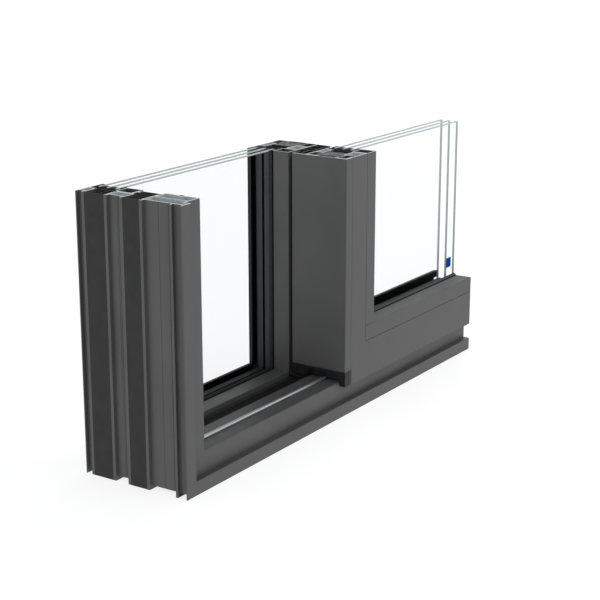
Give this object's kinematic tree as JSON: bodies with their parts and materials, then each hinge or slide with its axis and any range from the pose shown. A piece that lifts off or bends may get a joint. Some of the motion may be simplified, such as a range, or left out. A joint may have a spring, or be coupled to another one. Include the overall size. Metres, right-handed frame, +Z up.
{
  "type": "cut corner sample of a sliding patio door",
  "caption": "Cut corner sample of a triple glazed sliding patio door: mitred frame, fixed light behind, sliding sash on a sill rail.",
  "frame": {"origin": "centre of the sample's footprint, on the plane that the sill's outer edges stand on", "axes": "+X along the sill from the jamb to the cut end, +Y from the room side to the weather side, +Z up"},
  "size_m": [0.8116, 0.18, 0.404],
  "materials": {
    "coated_aluminium": "satin",
    "polyamide": "matte",
    "foam": "matte",
    "rubber": "matte",
    "packer": "matte",
    "spacer": "matte",
    "cap_plastic": "matte",
    "interlock_plastic": "matte",
    "rail_steel": "satin",
    "carriage_steel": "satin",
    "roller_plastic": "satin",
    "glass": "gloss"
  },
  "bodies": {
    "frame": {"fixed_gaskets": "rubber", "fixed_interlock": "interlock_plastic", "fixed_middle_pane": "glass", "fixed_packers": "packer", "fixed_room_pane": "glass", "fixed_spacers": "spacer", "fixed_stile_bead": "coated_aluminium", "fixed_stile_foam": "foam", "fixed_stile_room_profile": "coated_aluminium", "fixed_stile_strips": "polyamide", "fixed_stile_weather_profile": "coated_aluminium", "fixed_weather_pane": "glass", "jamb_bead": "coated_aluminium", "jamb_front_profile": "coated_aluminium", "jamb_middle_profile": "coated_aluminium", "jamb_rear_profile": "coated_aluminium", "jamb_seal": "rubber", "jamb_strips": "polyamide", "running_rail": "rail_steel", "sill_bead": "coated_aluminium", "sill_front_profile": "coated_aluminium", "sill_middle_profile": "coated_aluminium", "sill_rear_profile": "coated_aluminium", "sill_strips": "polyamide", "threshold_cover": "coated_aluminium"},
    "sash": {"roller_carriage": "carriage_steel", "rollers": "roller_plastic", "sash_end_cap": "cap_plastic", "sash_gaskets": "rubber", "sash_interlock": "interlock_plastic", "sash_middle_pane": "glass", "sash_packers": "packer", "sash_rail_bead": "coated_aluminium", "sash_rail_foam": "foam", "sash_rail_room_profile": "coated_aluminium", "sash_rail_strips": "polyamide", "sash_rail_weather_profile": "coated_aluminium", "sash_room_pane": "glass", "sash_spacers": "spacer", "sash_stile_bead": "coated_aluminium", "sash_stile_cover": "coated_aluminium", "sash_stile_foam": "foam", "sash_stile_room_profile": "coated_aluminium", "sash_stile_strips": "polyamide", "sash_stile_weather_profile": "coated_aluminium", "sash_weather_pane": "glass"}
  },
  "joints": [
    {"name": "sash_slide", "type": "slide", "parent": "frame", "child": "sash", "axis": [-1, 0, 0], "range_m": [0, 0.335]}
  ]
}
